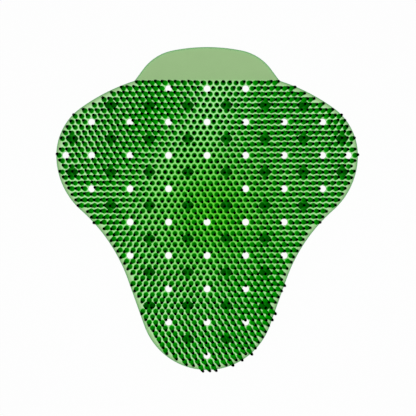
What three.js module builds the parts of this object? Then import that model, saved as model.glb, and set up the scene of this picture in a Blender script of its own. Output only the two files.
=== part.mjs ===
// Urinal deodorizer screen: a soft, scented mat that lies over the waste of a urinal.
// It is one moulding. A thin sheet, broad at the back and narrowing past a waist to a
// round toe, carries a close field of leaning bristles on top. Drain holes go through
// it, low diamond feet hold it off the bowl, and a bare tab at the back lifts it out.
//
// Millimetres, +Z up. The mat lies on its feet with the tab towards +Y. The outline and
// the bristle rows are drawn from the middle of the mat's widest line, and at the end
// the mat is moved so that the origin is under the middle of its box.

import * as THREE from 'three';

const degrees = THREE.MathUtils.degToRad;

// Outline of the sheet, as tangent arcs. Reaches are from the widest line.
const HALF_WIDTH = 90.5;
const BACK_LOBE_RADIUS = 35;
const BACK_LOBE_TURN = degrees(54);
const SHOULDER_RADIUS = 114;
const FRONT_LOBE_RADIUS = 44;
const WAIST_RADIUS = 100;
const FLANK_LEAN = degrees(19.6);
const TOE_RADIUS = 40;
const TOE_REACH = 128.8;

// Tab: a crowned end with round corners and sides that spread to the shoulders
const TAB_REACH = 65;
const TAB_CROWN_RADIUS = 105;
const TAB_CORNER_RADIUS = 29;
const TAB_SIDE_RISE = degrees(36.4);
const TAB_ROOT_HALF_WIDTH = 43.5;
const TAB_ROOT_FILLET = 2;

// Section through the sheet
const SHEET_THICKNESS = 1.8;
const EDGE_DRAFT = 0.5;
const FOOT_HEIGHT = 3;
const FOOT_DRAFT = 0.3;

// Bristles, on a lattice of equal triangles
const BRISTLE_PITCH = 3.855;
const BRISTLE_LENGTH = 11.5;
const BRISTLE_EDGE_MARGIN = 1.65;
const FREE_SIDE_REACH = 1.45;
const FREE_SIDE_DRAW = 0.45;
const FREE_SIDE_UNEVENNESS = 0.08;

// Drain holes: every sixth bristle of every sixth row gives way to one
const HOLE_DIAMETER = 4.1;
const HOLE_STEP = 6;
const HOLE_EDGE_MARGIN = 6.4;
const END_HOLE_COLUMN = 22;
const GATE_ROW = -6;

// Feet: flat diamonds under the sheet, half a step from the holes both ways
const FOOT_LENGTH = 7.7;
const FOOT_WIDTH = 6.3;
const FOOT_EDGE_MARGIN = 5;

// How the bristles are set. They part along a winding line, lean down the mat more and
// more towards the toe, and are brushed aside in patches.
const PARTING = { middle: -10, swing: 30, bend: 28, bendAt: 22, softness: 15 };
const ACROSS = { push: 1.4, bias: 0.2 };
const ALONG = { push: 1.2, bias: -0.85, turn: -90, softness: 70 };
const BRUSHED = [
  { x: 35, y: 25, reach: 20, across: 1, along: -0.3 },
  { x: 85, y: 20, reach: 10, across: -1, along: 0.3 },
  { x: 90, y: -10, reach: 15, across: -0.6, along: 0 },
  { x: 35, y: -100, reach: 20, across: 0.6, along: -0.2 },
  { x: -15, y: -75, reach: 15, across: -1.8, along: 0 },
  { x: -25, y: 0, reach: 40, across: -1.1, along: -1.8 },
  { x: -25, y: 22, reach: 20, across: -0.6, along: 1.7 },
  { x: -55, y: -5, reach: 20, across: -0.5, along: 1.8 },
  { x: -70, y: 15, reach: 25, across: 1.8, along: 0.2 },
];
const STRAY = 0.35;

// The sine behind each bristle's own stray: its turn for a column, a row and a way, and
// the gain that makes it look random
const SCRAMBLE = { column: 12.9898, row: 78.233, way: 37.719, gain: 43758.5453 };

// Fineness of the arcs: the most that a chord leaves the true arc
const CHORD_SAG = 0.1;

const ROW_PITCH = BRISTLE_PITCH * Math.sqrt(3) / 2;
const SHEET_TOP = FOOT_HEIGHT + SHEET_THICKNESS;

// Flat geometry

const direction = (angle) => new THREE.Vector2(Math.cos(angle), Math.sin(angle));

const angleTo = (from, to) => Math.atan2(to.y - from.y, to.x - from.x);

// The crossing of a line and a circle that lies farther along the line's way.
function lineMeetsCircle(start, way, centre, radius) {
  const toStart = start.clone().sub(centre);
  const half = toStart.dot(way);
  const root = Math.sqrt(half * half - toStart.lengthSq() + radius * radius);
  return start.clone().addScaledVector(way, root - half);
}

// Points along an arc with the sheet's outward normal at each. A hollow arc, with its
// centre outside the sheet, is turned through clockwise.
function arc(centre, radius, from, to) {
  const side = Math.sign(to - from);
  const step = 2 * Math.acos(1 - CHORD_SAG / radius);
  const count = Math.max(2, Math.ceil(Math.abs(to - from) / step));
  return Array.from({ length: count + 1 }, (_, n) => {
    const ray = direction(from + (to - from) * n / count);
    return { point: centre.clone().addScaledVector(ray, radius), normal: ray.multiplyScalar(side) };
  });
}

// Distance from a place to the nearest side of a closed polygon, negative outside it.
function depthInside(place, polygon) {
  let nearest = Infinity;
  let inside = false;
  polygon.forEach((a, n) => {
    const b = polygon[(n + 1) % polygon.length];
    const side = b.clone().sub(a);
    const along = THREE.MathUtils.clamp(place.clone().sub(a).dot(side) / side.lengthSq(), 0, 1);
    nearest = Math.min(nearest, place.distanceTo(a.clone().addScaledVector(side, along)));
    if ((a.y > place.y) !== (b.y > place.y)) {
      const crossing = a.x + side.x * (place.y - a.y) / side.y;
      if (crossing > place.x) inside = !inside;
    }
  });
  return inside ? nearest : -nearest;
}

// The sheet's outline

// Centre of the shoulder arc, which goes on from the back lobe without a corner.
const backLobe = new THREE.Vector2(HALF_WIDTH - BACK_LOBE_RADIUS, 0);
const shoulder = backLobe.clone()
  .addScaledVector(direction(BACK_LOBE_TURN), BACK_LOBE_RADIUS - SHOULDER_RADIUS);

// Where the tab's sides would meet the shoulders without their fillets.
const tabRoot = new THREE.Vector2(
  TAB_ROOT_HALF_WIDTH,
  shoulder.y + Math.sqrt(SHOULDER_RADIUS ** 2 - (TAB_ROOT_HALF_WIDTH - shoulder.x) ** 2),
);

// Toe, straight flank, hollow waist and front lobe, from the toe's end upwards.
function flankArcs() {
  const toe = new THREE.Vector2(0, TOE_RADIUS - TOE_REACH);
  const frontLobe = new THREE.Vector2(HALF_WIDTH - FRONT_LOBE_RADIUS, 0);
  const outward = direction(-FLANK_LEAN);
  const downward = direction(-FLANK_LEAN - Math.PI / 2);
  const beside = toe.clone().addScaledVector(outward, TOE_RADIUS + WAIST_RADIUS);
  const waist = lineMeetsCircle(beside, downward, frontLobe, WAIST_RADIUS + FRONT_LOBE_RADIUS);
  return [
    ...arc(toe, TOE_RADIUS, -Math.PI / 2, -FLANK_LEAN),
    ...arc(waist, WAIST_RADIUS, Math.PI - FLANK_LEAN, angleTo(waist, frontLobe)),
    ...arc(frontLobe, FRONT_LOBE_RADIUS, angleTo(frontLobe, waist), 0),
  ];
}

// Back lobe, shoulder, root fillet, tab corner and tab crown, up to the tab's end.
function backArcs() {
  const outward = direction(TAB_SIDE_RISE);
  const upward = direction(TAB_SIDE_RISE + Math.PI / 2);
  const filletStart = tabRoot.clone().addScaledVector(outward, TAB_ROOT_FILLET);
  const fillet = lineMeetsCircle(filletStart, upward, shoulder, SHOULDER_RADIUS + TAB_ROOT_FILLET);
  const crown = new THREE.Vector2(0, TAB_REACH - TAB_CROWN_RADIUS);
  const cornerStart = tabRoot.clone().addScaledVector(outward, -TAB_CORNER_RADIUS);
  const corner = lineMeetsCircle(cornerStart, upward, crown, TAB_CROWN_RADIUS - TAB_CORNER_RADIUS);
  return [
    ...arc(backLobe, BACK_LOBE_RADIUS, 0, BACK_LOBE_TURN),
    ...arc(shoulder, SHOULDER_RADIUS, BACK_LOBE_TURN, angleTo(shoulder, fillet)),
    ...arc(fillet, TAB_ROOT_FILLET, angleTo(fillet, shoulder), TAB_SIDE_RISE - Math.PI),
    ...arc(corner, TAB_CORNER_RADIUS, TAB_SIDE_RISE, angleTo(crown, corner)),
    ...arc(crown, TAB_CROWN_RADIUS, angleTo(crown, corner), Math.PI / 2),
  ];
}

// The whole outline, anticlockwise: the right half and its mirror image.
function outlineStations() {
  const joined = [...flankArcs(), ...backArcs()];
  const right = joined.filter((s, n) => n === 0 || s.point.distanceTo(joined[n - 1].point) > 1e-6);
  const left = right.slice(1, -1).reverse().map(({ point, normal }) => ({
    point: new THREE.Vector2(-point.x, point.y),
    normal: new THREE.Vector2(-normal.x, normal.y),
  }));
  return [...right, ...left];
}

const stations = outlineStations();
const outline = stations.map(({ point }) => point);

// The bristle lattice

// Places are counted in half pitches across and in rows along.
const placeKey = (column, row) => `${column},${row}`;

const placePoint = ({ column, row }) => new THREE.Vector2(column * BRISTLE_PITCH / 2, row * ROW_PITCH);

const NEIGHBOURS = [[2, 0], [1, 1], [-1, 1], [-2, 0], [-1, -1], [1, -1]];

// Every place that is far enough from the edge and from the tab's root line.
function latticePlaces() {
  const places = new Map();
  const columns = Math.ceil(2 * HALF_WIDTH / BRISTLE_PITCH);
  const lastRow = Math.floor((tabRoot.y - BRISTLE_EDGE_MARGIN) / ROW_PITCH);
  for (let row = -Math.ceil(TOE_REACH / ROW_PITCH); row <= lastRow; row += 1) {
    for (let column = -columns; column <= columns; column += 1) {
      if ((column - row) % 2 !== 0) continue;
      const place = { column, row };
      place.depth = depthInside(placePoint(place), outline);
      if (place.depth >= BRISTLE_EDGE_MARGIN) places.set(placeKey(column, row), place);
    }
  }
  return places;
}

// A drain hole takes a place of the coarse lattice, and one near each end of the widest
// row. The place at the gate, where the moulding was fed, keeps its bristle.
function isHole({ column, row, depth }, places) {
  const onStep = row % HOLE_STEP === 0 && column % (2 * HOLE_STEP) === 0;
  const atGate = column === 0 && row === GATE_ROW;
  const atEnd = row === 0 && Math.abs(column) === 2 * END_HOLE_COLUMN;
  const surrounded = NEIGHBOURS.every(([c, r]) => places.has(placeKey(column + c, row + r)));
  return surrounded && (atEnd || (onStep && !atGate && depth >= HOLE_EDGE_MARGIN));
}

// How far a bristle's tip stands from its root, across and along, without its stray.
function combed({ x, y }) {
  const parting = PARTING.middle + PARTING.swing * Math.tanh((y - PARTING.bendAt) / PARTING.bend);
  const lean = new THREE.Vector2(
    ACROSS.bias + ACROSS.push * Math.tanh((x - parting) / PARTING.softness),
    ALONG.bias + ALONG.push * Math.tanh((y - ALONG.turn) / ALONG.softness),
  );
  for (const patch of BRUSHED) {
    const square = (x - patch.x) ** 2 + (y - patch.y) ** 2;
    const share = Math.exp(-square / (2 * patch.reach ** 2));
    lean.x += patch.across * share;
    lean.y += patch.along * share;
  }
  return lean;
}

// A number from -1 to 1 that looks random and is always the same for a place.
function stray(column, row, way) {
  const turn = SCRAMBLE.column * column + SCRAMBLE.row * row + SCRAMBLE.way * way;
  const wave = SCRAMBLE.gain * Math.sin(turn);
  return 2 * (wave - Math.floor(wave)) - 1;
}

function tipOffset({ column, row }) {
  const lean = combed(placePoint({ column, row }));
  lean.x += STRAY * stray(column, row, 0);
  lean.y += STRAY * stray(column, row, 1);
  return lean;
}

// The solid, as one closed skin

const positions = [];
const triangles = [];

function vertex(x, y, z) {
  positions.push(x, y, z);
  return positions.length / 3 - 1;
}

const flatPoint = (index) => new THREE.Vector2(positions[3 * index], positions[3 * index + 1]);

// A wall between two rings of the same length, facing away from anticlockwise rings.
function wall(upper, lower) {
  upper.forEach((a, n) => {
    const next = (n + 1) % upper.length;
    triangles.push([a, lower[n], lower[next]], [a, lower[next], upper[next]]);
  });
}

// A flat face inside one ring and outside others, facing up or down.
function face(ring, openings, up) {
  const indices = [ring, ...openings].flat();
  const shapes = openings.map((opening) => opening.map(flatPoint));
  for (const corners of THREE.ShapeUtils.triangulateShape(ring.map(flatPoint), shapes)) {
    const triangle = corners.map((n) => indices[n]);
    const facesUp = !THREE.ShapeUtils.isClockWise(triangle.map(flatPoint));
    triangles.push(facesUp === up ? triangle : triangle.reverse());
  }
}

const places = latticePlaces();
const holes = [...places.values()].filter((place) => isHole(place, places));
const holeKeys = new Set(holes.map(({ column, row }) => placeKey(column, row)));
const bristles = [...places.values()].filter(({ column, row }) => !holeKeys.has(placeKey(column, row)));

// Neighbouring bristles share the corners of their hexagonal roots. A corner is counted
// in half pitches across and in thirds of a row along.
const CORNERS = [[1, 1], [0, 2], [-1, 1], [-1, -1], [0, -2], [1, -1]];
const cornerKeys = ({ column, row }) => CORNERS.map(([c, r]) => placeKey(column + c, 3 * row + r));
const cornerOwners = new Map();
for (const place of places.values()) {
  for (const key of cornerKeys(place)) {
    cornerOwners.set(key, [...(cornerOwners.get(key) ?? []), place]);
  }
}

// A corner with a place missing round it draws in towards the ones that stand, and a
// corner of a drain hole lies on the hole's rim.
function cornerPoint(key) {
  const [column, thirds] = key.split(',').map(Number);
  const corner = new THREE.Vector2(column * BRISTLE_PITCH / 2, thirds * ROW_PITCH / 3);
  const owners = cornerOwners.get(key);
  const hole = owners.find((place) => holeKeys.has(placeKey(place.column, place.row)));
  if (hole) {
    const centre = placePoint(hole);
    return corner.sub(centre).setLength(HOLE_DIAMETER / 2).add(centre);
  }
  if (owners.length === 3) return corner;
  const middle = owners.reduce((sum, place) => sum.add(placePoint(place)), new THREE.Vector2());
  middle.divideScalar(owners.length);
  const reach = owners.length === 1 ? FREE_SIDE_REACH : FREE_SIDE_DRAW * corner.distanceTo(middle);
  const uneven = 1 - FREE_SIDE_UNEVENNESS * Math.abs(stray(column, thirds, 2));
  return corner.sub(middle).setLength(reach * uneven).add(middle);
}

const cornerVertices = new Map();
for (const key of cornerOwners.keys()) {
  const { x, y } = cornerPoint(key);
  cornerVertices.set(key, vertex(x, y, SHEET_TOP));
}

// The rim of each hole has one more point over each of its four slanting sides.
const SLANTING = NEIGHBOURS.filter(([, r]) => r !== 0);
const rimVertices = new Map();
for (const hole of holes) {
  const centre = placePoint(hole);
  for (const [c, r] of SLANTING) {
    const { x, y } = placePoint({ column: c, row: r }).setLength(HOLE_DIAMETER / 2).add(centre);
    rimVertices.set(placeKey(hole.column * 2 + c, hole.row * 2 + r), vertex(x, y, SHEET_TOP));
  }
}

// The corners and rim points round a place, anticlockwise from its right-hand side.
function rootRing(place) {
  const corners = cornerKeys(place).map((key) => cornerVertices.get(key));
  return NEIGHBOURS.flatMap(([c, r], n) => {
    const rim = rimVertices.get(placeKey(place.column * 2 + c, place.row * 2 + r));
    return rim === undefined ? [corners[n]] : [rim, corners[n]];
  });
}

// Bristles: a six-sided spike over each root, with its tip carried aside by its lean.
const sides = new Map();
for (const bristle of bristles) {
  const ring = rootRing(bristle);
  const lean = tipOffset(bristle);
  const root = placePoint(bristle);
  const rise = Math.sqrt(BRISTLE_LENGTH ** 2 - lean.lengthSq());
  const tip = vertex(root.x + lean.x, root.y + lean.y, SHEET_TOP + rise);
  ring.forEach((a, n) => {
    const b = ring[(n + 1) % ring.length];
    triangles.push([a, b, tip]);
    sides.set(`${a},${b}`, [a, b]);
  });
}

// Drain holes, straight through the sheet.
const drainOpenings = holes.map((hole) => {
  const upper = rootRing(hole);
  const lower = upper.map((index) => vertex(...flatPoint(index), FOOT_HEIGHT));
  wall([...upper].reverse(), [...lower].reverse());
  upper.forEach((a, n) => sides.delete(`${upper[(n + 1) % upper.length]},${a}`));
  return lower;
});

// The rings that bound the bristle field: sides of roots with no bristle beyond them.
function fieldRings() {
  const following = new Map();
  for (const [a, b] of sides.values()) {
    if (!sides.has(`${b},${a}`)) following.set(a, b);
  }
  const rings = [];
  while (following.size > 0) {
    const ring = [];
    let next = following.keys().next().value;
    while (following.has(next)) {
      ring.push(next);
      const after = following.get(next);
      following.delete(next);
      next = after;
    }
    rings.push(ring);
  }
  return rings;
}

// Feet: diamonds under the sheet between the drain holes, drawn in towards their soles.
function footCentres() {
  const centres = [];
  for (const { column, row } of bristles) {
    const centre = placePoint({ column: column + 1, row });
    const onStep = Math.abs((column + 1) % (2 * HOLE_STEP)) === HOLE_STEP;
    const midway = Math.abs(row % HOLE_STEP) === HOLE_STEP / 2;
    if (onStep && midway && depthInside(centre, outline) >= FOOT_EDGE_MARGIN) centres.push(centre);
  }
  return centres;
}

function diamond(centre, inset, height) {
  const ends = [[FOOT_LENGTH / 2 - inset, 0], [0, FOOT_WIDTH / 2 - inset]];
  const corners = [ends[0], ends[1], ends[0].map((v) => -v), ends[1].map((v) => -v)];
  return corners.map(([x, y]) => vertex(centre.x + x, centre.y + y, height));
}

const footOpenings = footCentres().map((centre) => {
  const foot = diamond(centre, 0, FOOT_HEIGHT);
  const sole = diamond(centre, FOOT_DRAFT, 0);
  wall(foot, sole);
  face(sole, [], false);
  return foot;
});

// The sheet: its margin and tab round the bristle field, its drafted edge, its underside.
const upperEdge = stations.map(({ point }) => vertex(point.x, point.y, SHEET_TOP));
const lowerEdge = stations.map(({ point, normal }) => {
  const { x, y } = point.clone().addScaledVector(normal, -EDGE_DRAFT);
  return vertex(x, y, FOOT_HEIGHT);
});
face(upperEdge, fieldRings(), true);
wall(upperEdge, lowerEdge);
face(lowerEdge, [...drainOpenings, ...footOpenings], false);

const geometry = new THREE.BufferGeometry();
geometry.setAttribute('position', new THREE.Float32BufferAttribute(positions, 3));
geometry.setIndex(triangles.flat());
geometry.computeVertexNormals();

const material = new THREE.MeshStandardMaterial({ color: 0x7fbf52, roughness: 0.45, metalness: 0 });
const mat = new THREE.Mesh(geometry, material);
mat.name = 'screen_mat';

// The origin comes to lie under the middle of the box, bristles included.
geometry.computeBoundingBox();
const middle = geometry.boundingBox.getCenter(new THREE.Vector3());
mat.position.set(-middle.x, -middle.y, 0);

const screen = new THREE.Group();
screen.add(mat);

export default screen;
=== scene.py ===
# %% [markdown]
# # A urinal deodorizer screen
#
# The object is a soft green mat that lies over the waste of a urinal. It is one
# moulding: a thin waisted sheet with a bare tab, well over a thousand leaning bristles
# on top, drain holes through it and low diamond feet below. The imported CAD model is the
# fixed frame. It has the true outline and every bristle row but the last, with a plain
# six-sided spike for each bristle. Here the rows are drawn again with round, blunt
# bristles, a rounded edge and the translucent green of the real plastic.

import bpy
import numpy as np
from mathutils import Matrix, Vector
from mathutils.geometry import tessellate_polygon


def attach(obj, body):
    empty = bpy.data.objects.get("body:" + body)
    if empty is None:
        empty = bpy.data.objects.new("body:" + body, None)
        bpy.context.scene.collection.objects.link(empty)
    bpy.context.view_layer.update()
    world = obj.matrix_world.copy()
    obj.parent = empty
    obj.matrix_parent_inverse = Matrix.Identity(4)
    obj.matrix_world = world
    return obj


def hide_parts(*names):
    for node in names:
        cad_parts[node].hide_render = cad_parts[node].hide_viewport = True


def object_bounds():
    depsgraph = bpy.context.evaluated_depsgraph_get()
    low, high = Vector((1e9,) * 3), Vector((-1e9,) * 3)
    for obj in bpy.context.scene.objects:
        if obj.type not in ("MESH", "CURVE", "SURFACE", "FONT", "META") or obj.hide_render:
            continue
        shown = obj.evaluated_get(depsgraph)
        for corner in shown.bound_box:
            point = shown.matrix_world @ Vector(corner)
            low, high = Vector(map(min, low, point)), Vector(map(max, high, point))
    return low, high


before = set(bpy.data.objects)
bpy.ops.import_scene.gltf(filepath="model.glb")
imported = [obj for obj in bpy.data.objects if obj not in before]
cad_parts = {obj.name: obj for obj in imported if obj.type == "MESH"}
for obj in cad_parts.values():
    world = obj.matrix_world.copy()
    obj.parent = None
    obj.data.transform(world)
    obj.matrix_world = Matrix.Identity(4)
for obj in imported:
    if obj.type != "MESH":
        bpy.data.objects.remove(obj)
cad_box = [list(corner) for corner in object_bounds()]
print("CAD box, m:", [[round(v, 4) for v in corner] for corner in cad_box])

# %% [markdown]
# ## The mat's sizes
#
# The sizes are the CAD model's own, in millimetres. Along its length the mat is drawn
# from its widest line, so the only thing to find is where the frame has that line: a
# tab's reach below the far end of the CAD box.

# %% Name the sizes
MM = 0.001
HALF_WIDTH = 90.5
BACK_LOBE_RADIUS = 35
BACK_LOBE_TURN = np.radians(54)
SHOULDER_RADIUS = 114
FRONT_LOBE_RADIUS = 44
WAIST_RADIUS = 100
FLANK_LEAN = np.radians(19.6)
TOE_RADIUS = 40
TOE_REACH = 128.8
TAB_REACH = 65
TAB_CROWN_RADIUS = 105
TAB_CORNER_RADIUS = 29
TAB_SIDE_RISE = np.radians(36.4)
TAB_ROOT_HALF_WIDTH = 43.5
TAB_ROOT_FILLET = 2
SHEET_THICKNESS = 1.8
EDGE_DRAFT = 0.5
FOOT_HEIGHT = 3
BRISTLE_PITCH = 3.855
BRISTLE_LENGTH = 11.5
BRISTLE_EDGE_MARGIN = 1.65
BRISTLE_TAB_MARGIN = 1.2
HOLE_DIAMETER = 4.1
HOLE_STEP = 6
HOLE_EDGE_MARGIN = 6.4
END_HOLE_COLUMN = 22
GATE_ROW = -6
FOOT_LENGTH = 7.7
FOOT_WIDTH = 6.3
FOOT_EDGE_MARGIN = 5

ROW_PITCH = BRISTLE_PITCH * np.sqrt(3) / 2
SHEET_TOP = FOOT_HEIGHT + SHEET_THICKNESS
WIDEST_LINE = cad_box[1][1] / MM - TAB_REACH
print("widest line at y =", round(WIDEST_LINE, 2), "mm; top of the sheet at", SHEET_TOP, "mm")

# %% [markdown]
# ## The outline
#
# The outline is a chain of arcs that run into each other without corners: toe, waist,
# two arcs for each side lobe, shoulder, and the tab's root, corner and crown. Each arc
# gives its points and the outward normals there, as two arrays. The normals are what
# the rounded edge is built on later.

# %% Draw arcs and lines
ARC_STEP = 1.3


def direction(angle):
    """Unit vectors (cos angle, sin angle)."""
    return np.stack([np.cos(angle), np.sin(angle)], axis=-1)


def angle_to(start, end):
    """The angle of the line from start to end."""
    return np.arctan2(end[1] - start[1], end[0] - start[0])


def line_meets_circle(start, way, centre, radius):
    """The crossing start + s way that lies farther along, from |start + s way - centre| = radius."""
    to_start = start - centre
    half = to_start @ way
    return start + (np.sqrt(half**2 - to_start @ to_start + radius**2) - half) * way


def arc(centre, radius, start, end):
    """Points centre + radius (cos a, sin a), and outward normals, for a from start to end.

    A hollow arc, with its centre outside the sheet, is turned through clockwise.
    """
    count = max(3, int(np.ceil(abs(end - start) * radius / ARC_STEP)))
    rays = direction(np.linspace(start, end, count + 1))
    return np.hstack([centre + radius * rays, np.sign(end - start) * rays])


# %% Join the outline
back_lobe = np.array([HALF_WIDTH - BACK_LOBE_RADIUS, 0])
shoulder = back_lobe + (BACK_LOBE_RADIUS - SHOULDER_RADIUS) * direction(BACK_LOBE_TURN)
root_rise = np.sqrt(SHOULDER_RADIUS**2 - (TAB_ROOT_HALF_WIDTH - shoulder[0])**2)
tab_root = np.array([TAB_ROOT_HALF_WIDTH, shoulder[1] + root_rise])


def flank_arcs():
    """Toe, waist and front lobe of the right side, from the toe's end upwards."""
    toe = np.array([0, TOE_RADIUS - TOE_REACH])
    front_lobe = np.array([HALF_WIDTH - FRONT_LOBE_RADIUS, 0])
    beside = toe + (TOE_RADIUS + WAIST_RADIUS) * direction(-FLANK_LEAN)
    downward = direction(-FLANK_LEAN - np.pi / 2)
    waist = line_meets_circle(beside, downward, front_lobe, WAIST_RADIUS + FRONT_LOBE_RADIUS)
    return [
        arc(toe, TOE_RADIUS, -np.pi / 2, -FLANK_LEAN),
        arc(waist, WAIST_RADIUS, np.pi - FLANK_LEAN, angle_to(waist, front_lobe)),
        arc(front_lobe, FRONT_LOBE_RADIUS, angle_to(front_lobe, waist), 0),
    ]


def back_arcs():
    """Back lobe, shoulder, tab root, tab corner and crown of the right side."""
    outward = direction(TAB_SIDE_RISE)
    upward = direction(TAB_SIDE_RISE + np.pi / 2)
    fillet = line_meets_circle(
        tab_root + TAB_ROOT_FILLET * outward, upward, shoulder, SHOULDER_RADIUS + TAB_ROOT_FILLET)
    crown = np.array([0, TAB_REACH - TAB_CROWN_RADIUS])
    corner = line_meets_circle(
        tab_root - TAB_CORNER_RADIUS * outward, upward, crown, TAB_CROWN_RADIUS - TAB_CORNER_RADIUS)
    return [
        arc(back_lobe, BACK_LOBE_RADIUS, 0, BACK_LOBE_TURN),
        arc(shoulder, SHOULDER_RADIUS, BACK_LOBE_TURN, angle_to(shoulder, fillet)),
        arc(fillet, TAB_ROOT_FILLET, angle_to(fillet, shoulder), TAB_SIDE_RISE - np.pi),
        arc(corner, TAB_CORNER_RADIUS, TAB_SIDE_RISE, angle_to(crown, corner)),
        arc(crown, TAB_CROWN_RADIUS, angle_to(crown, corner), np.pi / 2),
    ]


# Two arcs share the point where they meet, so one of the pair is left out
SAME_PLACE = 1e-6
right = np.vstack(flank_arcs() + back_arcs())
steps = np.linalg.norm(np.diff(right[:, :2], axis=0), axis=1)
right = right[np.r_[True, steps > SAME_PLACE]]
stations = np.vstack([right, right[-2:0:-1] * [-1, 1, -1, 1]])
outline, outward_normals = stations[:, :2], stations[:, 2:]
print(len(outline), "points round the outline,", np.ptp(outline, axis=0).round(1), "mm across")

# %% [markdown]
# ## The bristle rows
#
# The bristles stand on a lattice of equal triangles. A place is used when it is far
# enough inside the outline and below the tab. Every sixth place of every sixth row is a
# drain hole instead, and a diamond foot lies under the sheet half a step away. All of
# this is array arithmetic: one array of columns, one of rows, and masks over them.
#
# The last row stands closer to the tab than the other bristles do to the edge. The CAD
# model has one margin for both, so it lacks that row and the three drain holes below it.
# Here the tab has a margin of its own, and the row and its holes are made.

# %% Count the places
NEIGHBOURS = np.array([[2, 0], [1, 1], [-1, 1], [-2, 0], [-1, -1], [1, -1]])


def place_points(columns, rows):
    """Half pitches across and rows along, as points in millimetres."""
    return np.stack([columns * BRISTLE_PITCH / 2, rows * ROW_PITCH], axis=-1)


def depth_inside(points):
    """Distance of each point to the nearest side of the outline, negative outside it."""
    after = np.roll(outline, -1, axis=0)
    side = after - outline
    from_start = points[:, None] - outline[None]
    share = np.clip((from_start * side).sum(-1) / (side**2).sum(-1), 0, 1)
    nearest = np.linalg.norm(from_start - share[..., None] * side, axis=-1).min(axis=1)
    spans = (outline[:, 1] > points[:, None, 1]) != (after[:, 1] > points[:, None, 1])
    crossing = outline[:, 0] + side[:, 0] * from_start[..., 1] / np.where(side[:, 1] == 0, 1, side[:, 1])
    inside = (spans & (crossing > points[:, None, 0])).sum(axis=1) % 2 == 1
    return np.where(inside, nearest, -nearest)


def lattice_places():
    """Columns, rows and depths of the places that are far enough from the edge and the tab."""
    width = int(np.ceil(2 * HALF_WIDTH / BRISTLE_PITCH))
    first_row = -int(np.ceil(TOE_REACH / ROW_PITCH))
    last_row = int((tab_root[1] - BRISTLE_TAB_MARGIN) / ROW_PITCH)
    grid = np.meshgrid(np.arange(-width, width + 1), np.arange(first_row, last_row + 1))
    columns, rows = grid[0].ravel(), grid[1].ravel()
    staggered = (columns - rows) % 2 == 0
    columns, rows = columns[staggered], rows[staggered]
    depths = depth_inside(place_points(columns, rows))
    kept = depths >= BRISTLE_EDGE_MARGIN
    return columns[kept], rows[kept], depths[kept]


# %% Choose the drain holes and the feet
def hole_mask(columns, rows, depths):
    """True where a drain hole takes the place: on the coarse lattice, or near a row's end."""
    used = set(zip(columns.tolist(), rows.tolist()))
    around = np.stack([columns, rows], axis=-1)[:, None] + NEIGHBOURS
    surrounded = np.array([all(tuple(n) in used for n in ring) for ring in around.tolist()])
    on_step = (rows % HOLE_STEP == 0) & (columns % (2 * HOLE_STEP) == 0)
    at_gate = (columns == 0) & (rows == GATE_ROW)
    at_end = (rows == 0) & (np.abs(columns) == 2 * END_HOLE_COLUMN)
    return surrounded & (at_end | (on_step & ~at_gate & (depths >= HOLE_EDGE_MARGIN)))


def foot_centres(columns, rows):
    """Centres half a step from the drain holes both ways, away from the edge."""
    on_step = (columns + 1) % (2 * HOLE_STEP) == HOLE_STEP
    midway = rows % HOLE_STEP == HOLE_STEP // 2
    centres = place_points(columns + 1, rows)[on_step & midway]
    return centres[depth_inside(centres) >= FOOT_EDGE_MARGIN]


columns, rows, depths = lattice_places()
is_hole = hole_mask(columns, rows, depths)
holes = place_points(columns, rows)[is_hole]
feet = foot_centres(columns[~is_hole], rows[~is_hole])
columns, rows = columns[~is_hole], rows[~is_hole]
roots = place_points(columns, rows)
print(len(roots), "bristles,", len(holes), "drain holes,", len(feet), "feet")
print("outermost foot centre", depth_inside(feet).min().round(2), "mm from the edge")

# %% [markdown]
# ## How the bristles lean
#
# The bristles of the real mat are combed by the way it was moulded and packed. They part
# along a winding line, lean down the mat towards the toe, and are brushed aside in
# patches. Each bristle also strays a little by itself. The stray is a sine with a very
# short wave, which looks random but is the same for a place on every run, and the same
# as in the CAD model.

# %% Work out where the tips are
PARTING = {"middle": -10, "swing": 30, "bend": 28, "bend_at": 22, "softness": 15}
ACROSS = {"push": 1.4, "bias": 0.2}
ALONG = {"push": 1.2, "bias": -0.85, "turn": -90, "softness": 70}
BRUSHED = [
    {"at": (35, 25), "reach": 20, "push": (1, -0.3)},
    {"at": (85, 20), "reach": 10, "push": (-1, 0.3)},
    {"at": (90, -10), "reach": 15, "push": (-0.6, 0)},
    {"at": (35, -100), "reach": 20, "push": (0.6, -0.2)},
    {"at": (-15, -75), "reach": 15, "push": (-1.8, 0)},
    {"at": (-25, 0), "reach": 40, "push": (-1.1, -1.8)},
    {"at": (-25, 22), "reach": 20, "push": (-0.6, 1.7)},
    {"at": (-55, -5), "reach": 20, "push": (-0.5, 1.8)},
    {"at": (-70, 15), "reach": 25, "push": (1.8, 0.2)},
]
STRAY = 0.35
SCRAMBLE = {"column": 12.9898, "row": 78.233, "way": 37.719, "gain": 43758.5453}


def stray(columns, rows, way):
    """2 fract(gain sin(a column + b row + c way)) - 1, with the turns a, b and c of SCRAMBLE."""
    turn = SCRAMBLE["column"] * columns + SCRAMBLE["row"] * rows + SCRAMBLE["way"] * way
    wave = SCRAMBLE["gain"] * np.sin(turn)
    return 2 * (wave - np.floor(wave)) - 1


def combed(points):
    """Two tanh steps, across the parting line and along the mat, and a bell for each patch."""
    x, y = points.T
    parting = PARTING["middle"] + PARTING["swing"] * np.tanh((y - PARTING["bend_at"]) / PARTING["bend"])
    across = ACROSS["bias"] + ACROSS["push"] * np.tanh((x - parting) / PARTING["softness"])
    along = ALONG["bias"] + ALONG["push"] * np.tanh((y - ALONG["turn"]) / ALONG["softness"])
    leans = np.stack([across, along], axis=-1)
    for patch in BRUSHED:
        square = ((points - patch["at"])**2).sum(-1)
        leans += np.exp(-square / (2 * patch["reach"]**2))[:, None] * patch["push"]
    return leans


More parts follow.
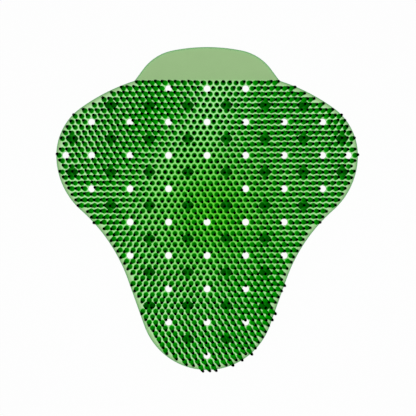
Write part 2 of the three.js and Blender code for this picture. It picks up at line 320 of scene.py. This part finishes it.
strays = np.stack([stray(columns, rows, 0), stray(columns, rows, 1)], axis=-1)
leans = combed(roots) + STRAY * strays
rises = np.sqrt(BRISTLE_LENGTH**2 - (leans**2).sum(-1))
print("tips stand", np.linalg.norm(leans, axis=1).max().round(1), "mm aside at most")

# %% [markdown]
# ## Meshes from arrays
#
# Each piece is a set of rings joined by walls. The helper below takes points in
# millimetres, drawn from the widest line, moves them into the frame and fills a mesh.
# The object stays at the origin, unturned, with its place in its mesh.


# %% Make a piece from arrays
def rings_to_quads(first, ring_count, side_count):
    """Quads between rings: corner (k, n), (k, n + 1), (k + 1, n + 1), (k + 1, n), wrapping in n."""
    k, n = np.meshgrid(np.arange(ring_count - 1), np.arange(side_count), indexing="ij")
    after = (n + 1) % side_count
    ring, next_ring = k * side_count, (k + 1) * side_count
    quads = [ring + n, ring + after, next_ring + after, next_ring + n]
    return np.stack(quads, axis=-1).reshape(-1, 4) + np.reshape(first, (-1, 1, 1))


def make_piece(name, points, faces, smooth):
    """A mesh object of points in millimetres, with one smooth-shading flag for each face."""
    placed = (points + [0, WIDEST_LINE, 0]) * MM
    mesh = bpy.data.meshes.new(name)
    mesh.from_pydata(placed, [], faces)
    mesh.polygons.foreach_set("use_smooth", smooth)
    mesh.validate()
    piece = bpy.data.objects.new(name, mesh)
    bpy.context.scene.collection.objects.link(piece)
    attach(piece, "root")
    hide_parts("screen_mat")
    triangles = sum(len(face) - 2 for face in faces)
    print(name, "has", triangles, "triangles")
    return piece


# %% [markdown]
# ## The sheet
#
# The sheet's edge is a small rounded profile carried round the outline: at each station
# the profile's points step inwards along the normal by its inset. The drain holes are
# the same idea on circles. Flat faces with forty holes in them would be awkward as a
# grid, so they are filled between the innermost rings by Blender's polygon tessellator.
# The part of the sheet over each foot is a flat diamond of its own with a face
# attribute, because it looks darker there: partly the deeper green of thicker plastic,
# partly painted shade where the foot holds back the light that comes through the sheet.
# Two more rings near the edge carry point attributes, for the plain margin, which has none
# of the painted light between the bristles, and for the thin line of painted shade along
# the rim.

# %% Profiles of the edges
EDGE_ROUND = 0.35
RIM_WIDTH = 1.0
MARGIN_WIDTH = 2.8
ROUND_POINTS = 5
HOLE_SIDES = 28
FOOT_SIDES = 32
FOOT_SHARPNESS = 1.5


def edge_profile(draft):
    """Insets and heights: round a quarter circle, down the side, which draws in by draft, and under."""
    turn = np.linspace(0, np.pi / 2, ROUND_POINTS)
    outward, inward = EDGE_ROUND * (1 - np.sin(turn)), EDGE_ROUND * (1 - np.cos(turn))
    upper = np.stack([outward, SHEET_TOP - inward], axis=-1)
    lower = np.stack([draft + inward, FOOT_HEIGHT + outward], axis=-1)
    return np.vstack([upper, lower])


def circle(count):
    """Unit vectors evenly round a circle, anticlockwise."""
    return direction(np.arange(count) * 2 * np.pi / count)


def diamond(count):
    """A rounded diamond: |x|^s + |y|^s = 1 along evenly turned rays, s between 1 and 2."""
    rays = circle(count)
    size = (np.abs(rays)**FOOT_SHARPNESS).sum(-1)**(-1 / FOOT_SHARPNESS)
    return size[:, None] * rays * [FOOT_LENGTH / 2, FOOT_WIDTH / 2]


def carry(profile, ring, normals):
    """Rings of points: ring - inset times normal, at each height of the profile."""
    flat = ring[None] - profile[:, None, :1] * normals[None]
    heights = np.broadcast_to(profile[:, None, 1:], flat.shape[:2] + (1,))
    return np.concatenate([flat, heights], axis=-1)


def fill(rings, up):
    """Triangles inside the first ring and outside the others, all facing up or all down."""
    loops = [[Vector((x, y, 0)) for x, y in ring[:, :2].tolist()] for ring in rings]
    triangles = np.array(tessellate_polygon(loops))
    flat = np.vstack([ring[:, :2] for ring in rings])
    a, b, c = (flat[triangles[:, n]] for n in range(3))
    area = (b - a)[:, 0] * (c - a)[:, 1] - (b - a)[:, 1] * (c - a)[:, 0]
    wrong = (area > 0) != up
    triangles[wrong] = triangles[wrong][:, ::-1]
    return triangles


# %% Build the sheet
class Skin:
    """Points and faces of one mesh, gathered ring by ring."""

    def __init__(self):
        self.points = []
        self.faces = []
        self.smooth = []
        self.count = 0

    def add(self, points):
        first = self.count
        self.points.append(points.reshape(-1, 3))
        self.count += self.points[-1].shape[0]
        return first

    def face(self, faces, smooth):
        self.faces += faces.tolist()
        self.smooth += [smooth] * len(faces)


def add_wall(skin, rings):
    """Wall of rings from the top down, and the numbers of its first and last ring's points."""
    first = skin.add(rings)
    ring_count, side_count = rings.shape[:2]
    skin.face(rings_to_quads(first, ring_count, side_count)[0][:, ::-1], True)
    top = first + np.arange(side_count)
    return top, top + (ring_count - 1) * side_count


def sheet_skin():
    """The whole sheet, with the count of its outline's points and that of its plain faces."""
    skin = Skin()
    flat_top = [[MARGIN_WIDTH, SHEET_TOP], [RIM_WIDTH, SHEET_TOP]]
    rim = np.vstack([flat_top, edge_profile(EDGE_DRAFT)])
    edge = carry(rim, outline, outward_normals)
    edge_top, edge_bottom = add_wall(skin, edge)
    tops, bottoms = [(edge[0], edge_top)], [(edge[-1], edge_bottom)]
    rays = circle(HOLE_SIDES)[::-1]
    for hole in holes:
        bore = carry(edge_profile(0), hole + HOLE_DIAMETER / 2 * rays, -rays)
        hole_top, hole_bottom = add_wall(skin, bore)
        tops.append((bore[0], hole_top))
        bottoms.append((bore[-1], hole_bottom))
    foot_faces = []
    for foot in feet:
        ring = np.hstack([foot + diamond(FOOT_SIDES), np.full((FOOT_SIDES, 1), SHEET_TOP)])
        numbers = skin.add(ring) + np.arange(FOOT_SIDES)
        tops.append((ring, numbers))
        foot_faces.append(numbers)
    top_numbers = np.concatenate([numbers for _, numbers in tops])
    bottom_numbers = np.concatenate([numbers for _, numbers in bottoms])
    skin.face(top_numbers[fill([ring for ring, _ in tops], True)], False)
    skin.face(bottom_numbers[fill([ring for ring, _ in bottoms], False)], False)
    plain_faces = len(skin.faces)
    skin.face(np.array(foot_faces), False)
    return skin, edge.shape[0] * edge.shape[1], plain_faces


def paint(piece, name, domain, values):
    """Store one number for each point or face of a piece, for its material to read."""
    attribute = piece.data.attributes.new(name, "FLOAT", domain)
    attribute.data.foreach_set("value", np.ravel(values).astype(np.float32))


skin, edge_points, plain_faces = sheet_skin()
sheet = make_piece("screen_sheet", np.vstack(skin.points), skin.faces, skin.smooth)
point_numbers = np.arange(skin.count)
# The lowest ring is left out, because the flat underside shares it
on_edge = point_numbers < edge_points - len(outline)
# The margin is the plain sheet, left without the painted light of the net between the bristles
paint(sheet, "margin", "POINT", on_edge & (point_numbers >= len(outline)))
# rim: a thin line of painted shade along the edge
paint(sheet, "rim", "POINT", on_edge & (point_numbers >= 2 * len(outline)))
# over_foot: the diamonds over the feet, partly deeper plastic and partly painted shade
paint(sheet, "over_foot", "FACE", np.arange(len(skin.faces)) >= plain_faces)

# %% [markdown]
# ## The bristles
#
# A bristle is a round taper with a small flare at its root and a blunt, slightly rounded
# tip. There are over a thousand, so each is only eight rings of eight points. The whole
# field is one array of shape (bristle, ring, side, xyz), filled in one go: the axis
# bends a little as it leans, and the radius follows a short profile. Two numbers are
# stored on each point for the material: its share of the bristle's height, and how much
# painted shade a foot below gives it, where the foot holds back the light that comes up
# through the sheet. A bristle that stands over a foot gets that painted shade all the way
# up, and one beside it only on the part of its flare that lies over the diamond.

# %% Build the bristles
BRISTLE_SIDES = 8
# Share of the height, and radius in millimetres there
BRISTLE_PROFILE = np.array([
    [-0.03, 1.88],
    [0.01, 1.72],
    [0.05, 1.46],
    [0.2, 1.33],
    [0.55, 1.15],
    [0.95, 0.84],
    [0.985, 0.74],
    [1.0, 0.45],
])
AXIS_BEND = 1.2
UNEVEN_THICKNESS = 0.04
FOOT_SHADE_SOFTNESS = 0.05
# Share of the height up to which the painted shade of the sheet's dark diamond shows on a bristle beside it
FLARE_TOP = 0.1


def bristle_points():
    """root + lean share^bend + radius (cos, sin) across, and top + rise share in height."""
    share, radius = BRISTLE_PROFILE.T
    thickness = 1 + UNEVEN_THICKNESS * stray(columns, rows, 2)
    axis = roots[:, None] + leans[:, None] * np.clip(share, 0, 1)[:, None]**AXIS_BEND
    rays = circle(BRISTLE_SIDES)
    flat = axis[:, :, None] + (thickness[:, None] * radius)[..., None, None] * rays
    height = SHEET_TOP + rises[:, None] * share
    height = np.broadcast_to(height[:, :, None, None], flat.shape[:3] + (1,))
    return np.concatenate([flat, height], axis=-1)


def bristle_faces(count, ring_count):
    """Side quads and the two end caps of every bristle."""
    size = ring_count * BRISTLE_SIDES
    first = np.arange(count) * size
    sides = rings_to_quads(first, ring_count, BRISTLE_SIDES).reshape(-1, 4)
    ring = np.arange(BRISTLE_SIDES)
    tips = first[:, None] + size - BRISTLE_SIDES + ring
    ends = first[:, None] + ring[::-1]
    return sides.tolist() + tips.tolist() + ends.tolist()


def share_over_foot(points):
    """1 inside the nearest foot's rounded diamond, falling softly to 0 outside."""
    away = np.abs(points[:, None] - feet[None]) / [FOOT_LENGTH / 2, FOOT_WIDTH / 2]
    nearest = ((away**FOOT_SHARPNESS).sum(-1)**(1 / FOOT_SHARPNESS)).min(axis=1)
    return np.clip((1 + FOOT_SHADE_SOFTNESS - nearest) / (2 * FOOT_SHADE_SOFTNESS), 0, 1)


points = bristle_points()
faces = bristle_faces(len(roots), len(BRISTLE_PROFILE))
bristles = make_piece("bristle_field", points.reshape(-1, 3), faces, [True] * len(faces))
shares = np.broadcast_to(np.clip(BRISTLE_PROFILE[:, 0], 0, 1)[:, None], points.shape[:3])
paint(bristles, "share", "POINT", shares)
# Painted shade where a foot below holds back the light that comes up through the sheet
beside = share_over_foot(points[:, 0, :, :2].reshape(-1, 2)).reshape(-1, 1, BRISTLE_SIDES)
beside = beside * np.clip(1 - shares / FLARE_TOP, 0, 1)
paint(bristles, "over_foot", "POINT", np.maximum(share_over_foot(roots)[:, None, None], beside))

# %% [markdown]
# ## The feet
#
# Under the sheet, low diamonds keep the mat off the bowl so that water can pass below.
# Each is a rounded diamond carried down a profile that flares where it joins the sheet
# and is rounded off at the sole.

# %% Build the feet
# Share of the outline's size, and height in millimetres there
FOOT_PROFILE = np.array([
    [1.12, FOOT_HEIGHT + 0.3],
    [1.04, FOOT_HEIGHT - 0.2],
    [1.0, FOOT_HEIGHT - 0.7],
    [0.95, 0.45],
    [0.91, 0.12],
    [0.84, 0.0],
])


def foot_points():
    """centre + share of the diamond at each height, for every foot at once."""
    share, height = FOOT_PROFILE.T
    flat = feet[:, None, None] + share[:, None, None] * diamond(FOOT_SIDES)
    heights = np.broadcast_to(height[:, None, None], flat.shape[:3] + (1,))
    return np.concatenate([flat, heights], axis=-1)


def foot_faces(count, ring_count):
    """Side quads and the two end caps of every foot, with the rings from the top down."""
    size = ring_count * FOOT_SIDES
    first = np.arange(count) * size
    sides = rings_to_quads(first, ring_count, FOOT_SIDES).reshape(-1, 4)[:, ::-1]
    ring = np.arange(FOOT_SIDES)
    soles = first[:, None] + size - FOOT_SIDES + ring[::-1]
    return sides.tolist() + (first[:, None] + ring).tolist() + soles.tolist()


faces = foot_faces(len(feet), len(FOOT_PROFILE))
side_count = len(faces) - 2 * len(feet)
smooth = [True] * side_count + [False] * (2 * len(feet))
foot_field = make_piece("diamond_feet", foot_points().reshape(-1, 3), faces, smooth)

# %% [markdown]
# ## The plastic
#
# The mat is one translucent green plastic, and its colours here are painted light, standing
# for how much light passes through it. The thin sheet is painted pale, a painted glow makes it
# deeper and yellower towards the middle of the mat, and a bristle is painted darker from root
# to tip until the tip is nearly black, as shade where less light comes through. The shared
# node groups turn a place on the object into such shares, and each material mixes its own
# colours with them.
#
# Light also passes through a thin bristle from side to side, so its flanks aren't as dark
# as an opaque one's. The moulded surface imitates that by lifting its shading normals
# towards the top, as is often done for grass and fur.

# %% Colours and node helpers
def srgb(red, green, blue):
    """The linear colour of an 8-bit one: (c / 255 + 0.055 over 1.055) to the 2.4 for most values."""
    c = np.array([red, green, blue]) / 255
    linear = np.where(c > 0.04045, ((c + 0.055) / 1.055)**2.4, c / 12.92)
    return (*linear.tolist(), 1)


def new_group(name, inputs, outputs):
    """An empty node group with float, vector or colour sockets, given as name and kind."""
    group = bpy.data.node_groups.new(name, "ShaderNodeTree")
    for socket, kind in inputs:
        group.interface.new_socket(socket, in_out="INPUT", socket_type=f"NodeSocket{kind}")
    for socket, kind in outputs:
        group.interface.new_socket(socket, in_out="OUTPUT", socket_type=f"NodeSocket{kind}")
    return group, group.nodes.new("NodeGroupInput"), group.nodes.new("NodeGroupOutput")


def math(tree, operation, *values):
    """A Math node with numbers or sockets as its values, and its output."""
    node = tree.nodes.new("ShaderNodeMath")
    node.operation = operation
    for socket, value in zip(node.inputs, values):
        if isinstance(value, (int, float)):
            socket.default_value = value
        else:
            tree.links.new(value, socket)
    return node.outputs[0]


def mix_colour(tree, share, first, second):
    """A Mix node from the first colour to the second, and its colour output."""
    node = tree.nodes.new("ShaderNodeMix")
    node.data_type = "RGBA"
    for name, value in (("Factor_Float", share), ("A_Color", first), ("B_Color", second)):
        socket = next(s for s in node.inputs if s.identifier == name)
        if isinstance(value, (int, float, tuple)):
            socket.default_value = value
        else:
            tree.links.new(value, socket)
    return next(s for s in node.outputs if s.identifier == "Result_Color")


def vector_math(tree, operation, *values, gain=None):
    """A Vector Math node with vectors or sockets as its values, and its vector output.

    The gain is a socket for the Scale input, which only the SCALE operation has.
    """
    node = tree.nodes.new("ShaderNodeVectorMath")
    node.operation = operation
    for socket, value in zip(node.inputs, values):
        if isinstance(value, tuple):
            socket.default_value = value
        else:
            tree.links.new(value, socket)
    if gain is not None:
        tree.links.new(gain, node.inputs["Scale"])
    return node.outputs[0]


def noise(tree, position, scale, detail):
    """A Noise Texture node over a position, and its grey output."""
    node = tree.nodes.new("ShaderNodeTexNoise")
    node.inputs["Detail"].default_value = detail
    tree.links.new(position, node.inputs["Vector"])
    if isinstance(scale, (int, float)):
        node.inputs["Scale"].default_value = scale
    else:
        tree.links.new(scale, node.inputs["Scale"])
    return node.outputs["Fac"]


# %% A group for the painted glow at the middle of the mat
def make_glow_group():
    """exp(-(distance from the centre / reach)^2), from 1 at the centre to 0 far away."""
    inputs = [("Position", "Vector"), ("Centre", "Vector"), ("Reach", "Float")]
    group, given, result = new_group("painted_glow_middle", inputs, [("Share", "Float")])
    distance = group.nodes.new("ShaderNodeVectorMath")
    distance.operation = "DISTANCE"
    group.links.new(given.outputs["Position"], distance.inputs[0])
    group.links.new(given.outputs["Centre"], distance.inputs[1])
    ratio = math(group, "DIVIDE", distance.outputs["Value"], given.outputs["Reach"])
    falling = math(group, "MULTIPLY", math(group, "MULTIPLY", ratio, ratio), -1)
    group.links.new(math(group, "EXPONENT", falling), result.inputs["Share"])
    return group


# %% A group for the moulded surface
FINE_GRAIN = 1400
GRAIN_DEPTH = 0.0002
CLOUD_DETAIL = 3
GRAIN_DETAIL = 2
LEAST_ROUGHNESS = 0.45
ROUGHNESS_SPREAD = 0.16


def make_moulding_group():
    """Cloudy colour, uneven gloss, a faint ripple, and normals drawn towards the top by Lift."""
    inputs = [
        ("Position", "Vector"), ("Color", "Color"), ("Cloud Scale", "Float"), ("Cloudiness", "Float"),
        ("Ripple", "Float"), ("Lift", "Float")]
    outputs = [("Color", "Color"), ("Roughness", "Float"), ("Normal", "Vector")]
    group, given, result = new_group("moulded_surface", inputs, outputs)
    coarse = noise(group, given.outputs["Position"], given.outputs["Cloud Scale"], CLOUD_DETAIL)
    fine = noise(group, given.outputs["Position"], FINE_GRAIN, GRAIN_DETAIL)
    cloud = math(group, "SUBTRACT", coarse, 0.5)
    brightness = math(group, "MULTIPLY_ADD", cloud, given.outputs["Cloudiness"], 1)
    scaled = vector_math(group, "SCALE", given.outputs["Color"], gain=brightness)
    group.links.new(scaled, result.inputs["Color"])
    uneven = math(group, "MULTIPLY_ADD", fine, ROUGHNESS_SPREAD, LEAST_ROUGHNESS)
    group.links.new(uneven, result.inputs["Roughness"])
    bump = group.nodes.new("ShaderNodeBump")
    bump.inputs["Distance"].default_value = GRAIN_DEPTH
    group.links.new(given.outputs["Ripple"], bump.inputs["Strength"])
    group.links.new(fine, bump.inputs["Height"])
    upward = vector_math(group, "SCALE", (0, 0, 1), gain=given.outputs["Lift"])
    lifted = vector_math(group, "ADD", bump.outputs["Normal"], upward)
    normal = vector_math(group, "NORMALIZE", lifted)
    group.links.new(normal, result.inputs["Normal"])
    return group


painted_glow_middle = make_glow_group()
moulded_surface = make_moulding_group()
print("node groups:", [group.name for group in bpy.data.node_groups])

# %% [markdown]
# Each material starts the same way: an Object position, the painted glow's share of it, and a
# Principled shader behind the moulded surface group. Only the colour in between differs.

# %% Start and end a material
GLOW_CENTRE = (0.004, -0.002, SHEET_TOP * MM)
GLOW_REACH = 0.05
PLASTIC_IOR = 1.48


class Finish:
    """A material of the mat with its position, its share of the painted glow and its shader."""

    def __init__(self, name, gloss):
        self.material = bpy.data.materials.new(name)
        self.material.use_nodes = True
        self.tree = self.material.node_tree
        self.shader = self.tree.nodes["Principled BSDF"]
        self.shader.inputs["IOR"].default_value = PLASTIC_IOR
        self.shader.inputs["Specular IOR Level"].default_value = gloss
        self.position = self.tree.nodes.new("ShaderNodeTexCoord").outputs["Object"]
        glow = self.group(painted_glow_middle, Position=self.position, Centre=GLOW_CENTRE, Reach=GLOW_REACH)
        self.glow_share = glow.outputs["Share"]

    def painted(self, name):
        node = self.tree.nodes.new("ShaderNodeAttribute")
        node.attribute_name = name
        return node.outputs["Fac"]

    def group(self, group, **values):
        node = self.tree.nodes.new("ShaderNodeGroup")
        node.node_tree = group
        for name, value in values.items():
            if isinstance(value, (int, float, tuple)):
                node.inputs[name].default_value = value
            else:
                self.tree.links.new(value, node.inputs[name])
        return node

    def finish(self, colour, piece, cloud_scale, cloudiness, ripple, lift=0.0):
        surface = self.group(moulded_surface, **{
            "Position": self.position, "Color": colour, "Cloud Scale": cloud_scale,
            "Cloudiness": cloudiness, "Ripple": ripple, "Lift": lift})
        self.tree.links.new(surface.outputs["Color"], self.shader.inputs["Base Color"])
        self.tree.links.new(surface.outputs["Roughness"], self.shader.inputs["Roughness"])
        self.tree.links.new(surface.outputs["Normal"], self.shader.inputs["Normal"])
        piece.data.materials.append(self.material)
        print("finished", piece.name, "with", self.material.name)


# %% The sheet's colour
# The tab's colour starts this far below its root and is full this far above, in millimetres
TAB_COLOUR_START = -2
TAB_COLOUR_FULL = 1


def finish_sheet():
    """Painted light: pale between the bristles, deeper at the middle by a painted glow, sage on the tab and
    the margin, painted shade along the rim, and dark over the feet, partly painted shade.
    """
    look = Finish("pale_green_sheet", gloss=0.02)
    # Painted light: the net between the bristles is paler than the plain sheet, for light that comes up
    # through it and to make up for the bristles' shade, and a painted glow deepens it at the middle
    net = mix_colour(look.tree, look.glow_share, srgb(184, 224, 172), srgb(104, 198, 62))
    across = look.tree.nodes.new("ShaderNodeSeparateXYZ")
    look.tree.links.new(look.position, across.inputs[0])
    on_tab = look.tree.nodes.new("ShaderNodeMapRange")
    on_tab.inputs["From Min"].default_value = (WIDEST_LINE + tab_root[1] + TAB_COLOUR_START) * MM
    on_tab.inputs["From Max"].default_value = (WIDEST_LINE + tab_root[1] + TAB_COLOUR_FULL) * MM
    look.tree.links.new(across.outputs["Y"], on_tab.inputs["Value"])
    plain = mix_colour(look.tree, on_tab.outputs["Result"], net, srgb(147, 180, 127))
    sage = mix_colour(look.tree, look.painted("margin"), plain, srgb(147, 184, 128))
    # Painted shade: a thin darker line along the rim
    rimmed = mix_colour(look.tree, look.painted("rim"), sage, srgb(112, 170, 112))
    # Over the feet: partly the deeper green of thicker plastic and partly painted shade where the foot
    # holds back the light through the sheet
    colour = mix_colour(look.tree, look.painted("over_foot"), rimmed, srgb(0, 110, 0))
    look.finish(colour, sheet, cloud_scale=160, cloudiness=0.06, ripple=0.15)


finish_sheet()


# %% The bristles' colour
def colour_ramp(tree, share, stops):
    """A Color Ramp node over a share, from places and colours, and its colour output."""
    node = tree.nodes.new("ShaderNodeValToRGB")
    elements = node.color_ramp.elements
    elements[0].position, elements[0].color = stops[0]
    elements[1].position, elements[1].color = stops[-1]
    for position, colour in stops[1:-1]:
        elements.new(position).color = colour
    tree.links.new(share, node.inputs["Fac"])
    return node.outputs["Color"]


def finish_bristles():
    """Painted light and shade: bright green at the root, where light comes up through the sheet, deep green
    above, and a nearly black tip.
    """
    look = Finish("deep_green_bristle", gloss=0.0)
    share = look.painted("share")
    # Painted light and shade: roots painted bright where light comes up through the sheet, flanks painted
    # darker upwards, and tips nearly black as painted shade
    upper = [(0.4, srgb(0, 176, 0)), (0.7, srgb(0, 138, 0)), (0.92, srgb(0, 84, 0)), (0.95, srgb(0, 1, 0))]
    edge_root = colour_ramp(look.tree, share, [
        (0.0, srgb(158, 214, 142)),
        (0.03, srgb(66, 192, 54)),
        (0.08, srgb(12, 188, 10)),
        *upper,
    ])
    middle_root = colour_ramp(look.tree, share, [
        (0.0, srgb(84, 194, 26)),
        (0.012, srgb(64, 190, 10)),
        (0.05, srgb(46, 188, 2)),
        (0.12, srgb(10, 186, 0)),
        *upper,
    ])
    # Painted shade for a bristle over a foot, where less light comes up through the sheet
    foot_root = colour_ramp(look.tree, share, [
        (0.0, srgb(0, 106, 0)),
        (0.3, srgb(0, 126, 0)),
        (0.92, srgb(0, 80, 0)),
        (0.95, srgb(0, 1, 0)),
    ])
    # Painted glow: the roots at the middle of the mat are painted a deeper, yellower green
    open_root = mix_colour(look.tree, look.glow_share, edge_root, middle_root)
    colour = mix_colour(look.tree, look.painted("over_foot"), open_root, foot_root)
    look.finish(colour, bristles, cloud_scale=600, cloudiness=0.5, ripple=0.1, lift=3.0)


finish_bristles()


# %% The feet's colour
def finish_feet():
    """One deep green, a little brighter and yellower towards the middle by a painted glow."""
    look = Finish("deep_green_foot", gloss=0.4)
    # Painted glow: the feet are painted brighter towards the middle of the mat
    colour = mix_colour(look.tree, look.glow_share, srgb(70, 150, 60), srgb(70, 165, 40))
    look.finish(colour, foot_field, cloud_scale=160, cloudiness=0.25, ripple=0.15)


finish_feet()

# %% [markdown]
# ## Floor, camera and light
#
# The photograph looks straight down on the mat on a white ground. The floor is white to
# the camera through Light Path, but part of it is a plain diffuse surface, so it keeps
# the mat's soft shadow.

# %% Lay the floor
FLOOR_SIZE = 3.0
FLOOR_DROP = 0.00005
FLOOR_WHITE_SHARE = 0.86


def white_to_camera(tree, shader_output, share):
    """Mix the shader with white emission by share, where camera, glossy or clear rays look."""
    path = tree.nodes.new("ShaderNodeLightPath")
    rays = math(tree, "MAXIMUM", path.outputs["Is Camera Ray"], path.outputs["Is Glossy Ray"])
    rays = math(tree, "MAXIMUM", rays, path.outputs["Is Transmission Ray"])
    white = tree.nodes.new("ShaderNodeEmission")
    mix = tree.nodes.new("ShaderNodeMixShader")
    tree.links.new(math(tree, "MULTIPLY", rays, share), mix.inputs["Fac"])
    tree.links.new(shader_output, mix.inputs[1])
    tree.links.new(white.outputs[0], mix.inputs[2])
    return mix.outputs[0]


def lay_floor():
    """A square of white floor just under the soles."""
    half = FLOOR_SIZE / 2
    height = cad_box[0][2] - FLOOR_DROP
    square = np.array([[-half, -half], [half, -half], [half, half], [-half, half]])
    corners = np.column_stack([square, np.full(len(square), height)])
    mesh = bpy.data.meshes.new("floor")
    mesh.from_pydata(corners, [], [[0, 1, 2, 3]])
    floor = bpy.data.objects.new("floor", mesh)
    bpy.context.scene.collection.objects.link(floor)
    material = bpy.data.materials.new("white_floor")
    material.use_nodes = True
    tree = material.node_tree
    shader = tree.nodes["Principled BSDF"]
    shader.inputs["Base Color"].default_value = (0.85, 0.85, 0.85, 1)
    shader.inputs["Roughness"].default_value = 0.9
    result = white_to_camera(tree, shader.outputs[0], FLOOR_WHITE_SHARE)
    tree.links.new(result, tree.nodes["Material Output"].inputs["Surface"])
    mesh.materials.append(material)


lay_floor()

# %% [markdown]
# The camera hangs over the middle of the photograph. One pixel is 0.6 mm at the top of
# the sheet, and the photograph is 416 pixels wide, so the lens follows from the height.

# %% Hang the camera
IMAGE_SIZE = 416
PIXEL = 0.6
CAMERA_HEIGHT = 900
SENSOR = 36
# Pixel of the photograph on the mat's centre line and its widest line
MIDDLE_PIXEL = (206.6, 154.85)

image_middle = (IMAGE_SIZE - 1) / 2
viewed = (
    (image_middle - MIDDLE_PIXEL[0]) * PIXEL * MM,
    (WIDEST_LINE - (image_middle - MIDDLE_PIXEL[1]) * PIXEL) * MM)


def hang_camera():
    """Lens = sensor times height over view width, and the photograph's middle under the camera."""
    camera = bpy.data.cameras.new("camera")
    camera.sensor_width = SENSOR
    camera.lens = SENSOR * CAMERA_HEIGHT / (IMAGE_SIZE * PIXEL)
    camera.clip_start = 0.01
    holder = bpy.data.objects.new("camera", camera)
    holder.location = (*viewed, (SHEET_TOP + CAMERA_HEIGHT) * MM)
    bpy.context.scene.collection.objects.link(holder)
    bpy.context.scene.camera = holder
    bpy.context.scene.view_settings.view_transform = "Standard"
    print("lens", round(camera.lens, 1), "mm at", [round(v, 4) for v in holder.location])


hang_camera()

# %% [markdown]
# The light is a round soft lamp on the camera's own axis, so that each shadow falls
# behind the bristle that throws it and the sheet stays bright down between them. A disc
# of power P at distance d renders a white surface as P / (pi d)^2, which gives the power
# for a level of about 1 together with the world's even fill.

# %% Light it
LAMP_LEVEL = 0.92
LAMP_SIZE = 90
LAMP_HEIGHT = 910
WORLD_STRENGTH = 0.2


def light_scene():
    """A soft lamp over the mat, and an even pale world that the camera sees as white."""
    lamp = bpy.data.lights.new("overhead", "AREA")
    lamp.shape = "DISK"
    lamp.size = LAMP_SIZE * MM
    lamp.energy = LAMP_LEVEL * (np.pi * LAMP_HEIGHT * MM)**2
    holder = bpy.data.objects.new("overhead", lamp)
    holder.location = (*viewed, (SHEET_TOP + LAMP_HEIGHT) * MM)
    holder.visible_camera = False
    bpy.context.scene.collection.objects.link(holder)
    world = bpy.data.worlds.new("studio")
    world.use_nodes = True
    tree = world.node_tree
    background = tree.nodes["Background"]
    background.inputs["Color"].default_value = (0.97, 0.98, 1, 1)
    path = tree.nodes.new("ShaderNodeLightPath")
    strength = math(tree, "MULTIPLY_ADD", path.outputs["Is Camera Ray"], 1 - WORLD_STRENGTH, WORLD_STRENGTH)
    tree.links.new(strength, background.inputs["Strength"])
    bpy.context.scene.world = world
    print("lamp of", round(lamp.energy, 2), "W")


light_scene()

# %% Finish
bpy.context.view_layer.update()
